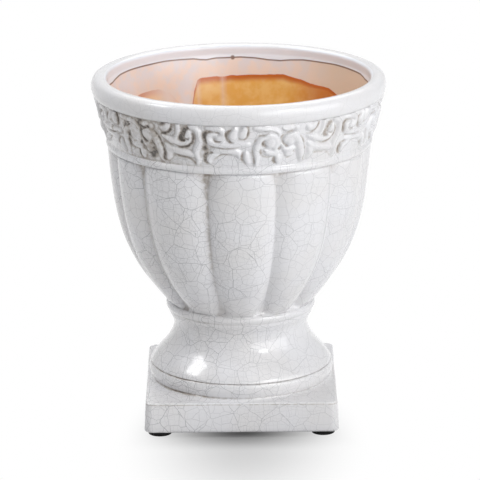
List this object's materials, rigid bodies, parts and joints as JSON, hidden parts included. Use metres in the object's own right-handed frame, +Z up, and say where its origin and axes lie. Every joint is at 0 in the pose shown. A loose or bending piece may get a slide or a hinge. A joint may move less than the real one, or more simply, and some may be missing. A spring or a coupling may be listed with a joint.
{
  "type": "cachepot",
  "caption": "Urn-shaped glazed ceramic cachepot: fluted bowl with sprigged frieze and rolled rim on a bell pedestal, foot ring and square plinth, standing on round pads.",
  "frame": {"origin": "centre of the underside, on the plane that the four pads stand on", "axes": "+Z up along the pot's axis, through the mouth; -Y out of the plinth's front side; +X to the right seen from the front"},
  "size_m": [0.15, 0.15, 0.178],
  "materials": {
    "crackle_glaze": "glossy white glaze with fine grey crackle lines",
    "patinated_glaze": "glossy white glaze with grey-brown stain in the recesses",
    "sprig_glaze": "glossy white glaze, thin on the high places",
    "black_pad": "matt black"
  },
  "bodies": {
    "root": {"bowl": "crackle_glaze", "frieze_band": "patinated_glaze", "rim": "crackle_glaze", "neck_ring": "crackle_glaze", "pedestal": "crackle_glaze", "foot_ring": "crackle_glaze", "plinth": "crackle_glaze", "palmette_sprig_1": "sprig_glaze", "palmette_sprig_2": "sprig_glaze", "palmette_sprig_3": "sprig_glaze", "palmette_sprig_4": "sprig_glaze", "palmette_sprig_5": "sprig_glaze", "palmette_sprig_6": "sprig_glaze", "volute_sprig_1": "sprig_glaze", "volute_sprig_2": "sprig_glaze", "volute_sprig_3": "sprig_glaze", "volute_sprig_4": "sprig_glaze", "volute_sprig_5": "sprig_glaze", "volute_sprig_6": "sprig_glaze", "pad_front_left": "black_pad", "pad_front_right": "black_pad", "pad_back_left": "black_pad", "pad_back_right": "black_pad"}
  },
  "joints": []
}
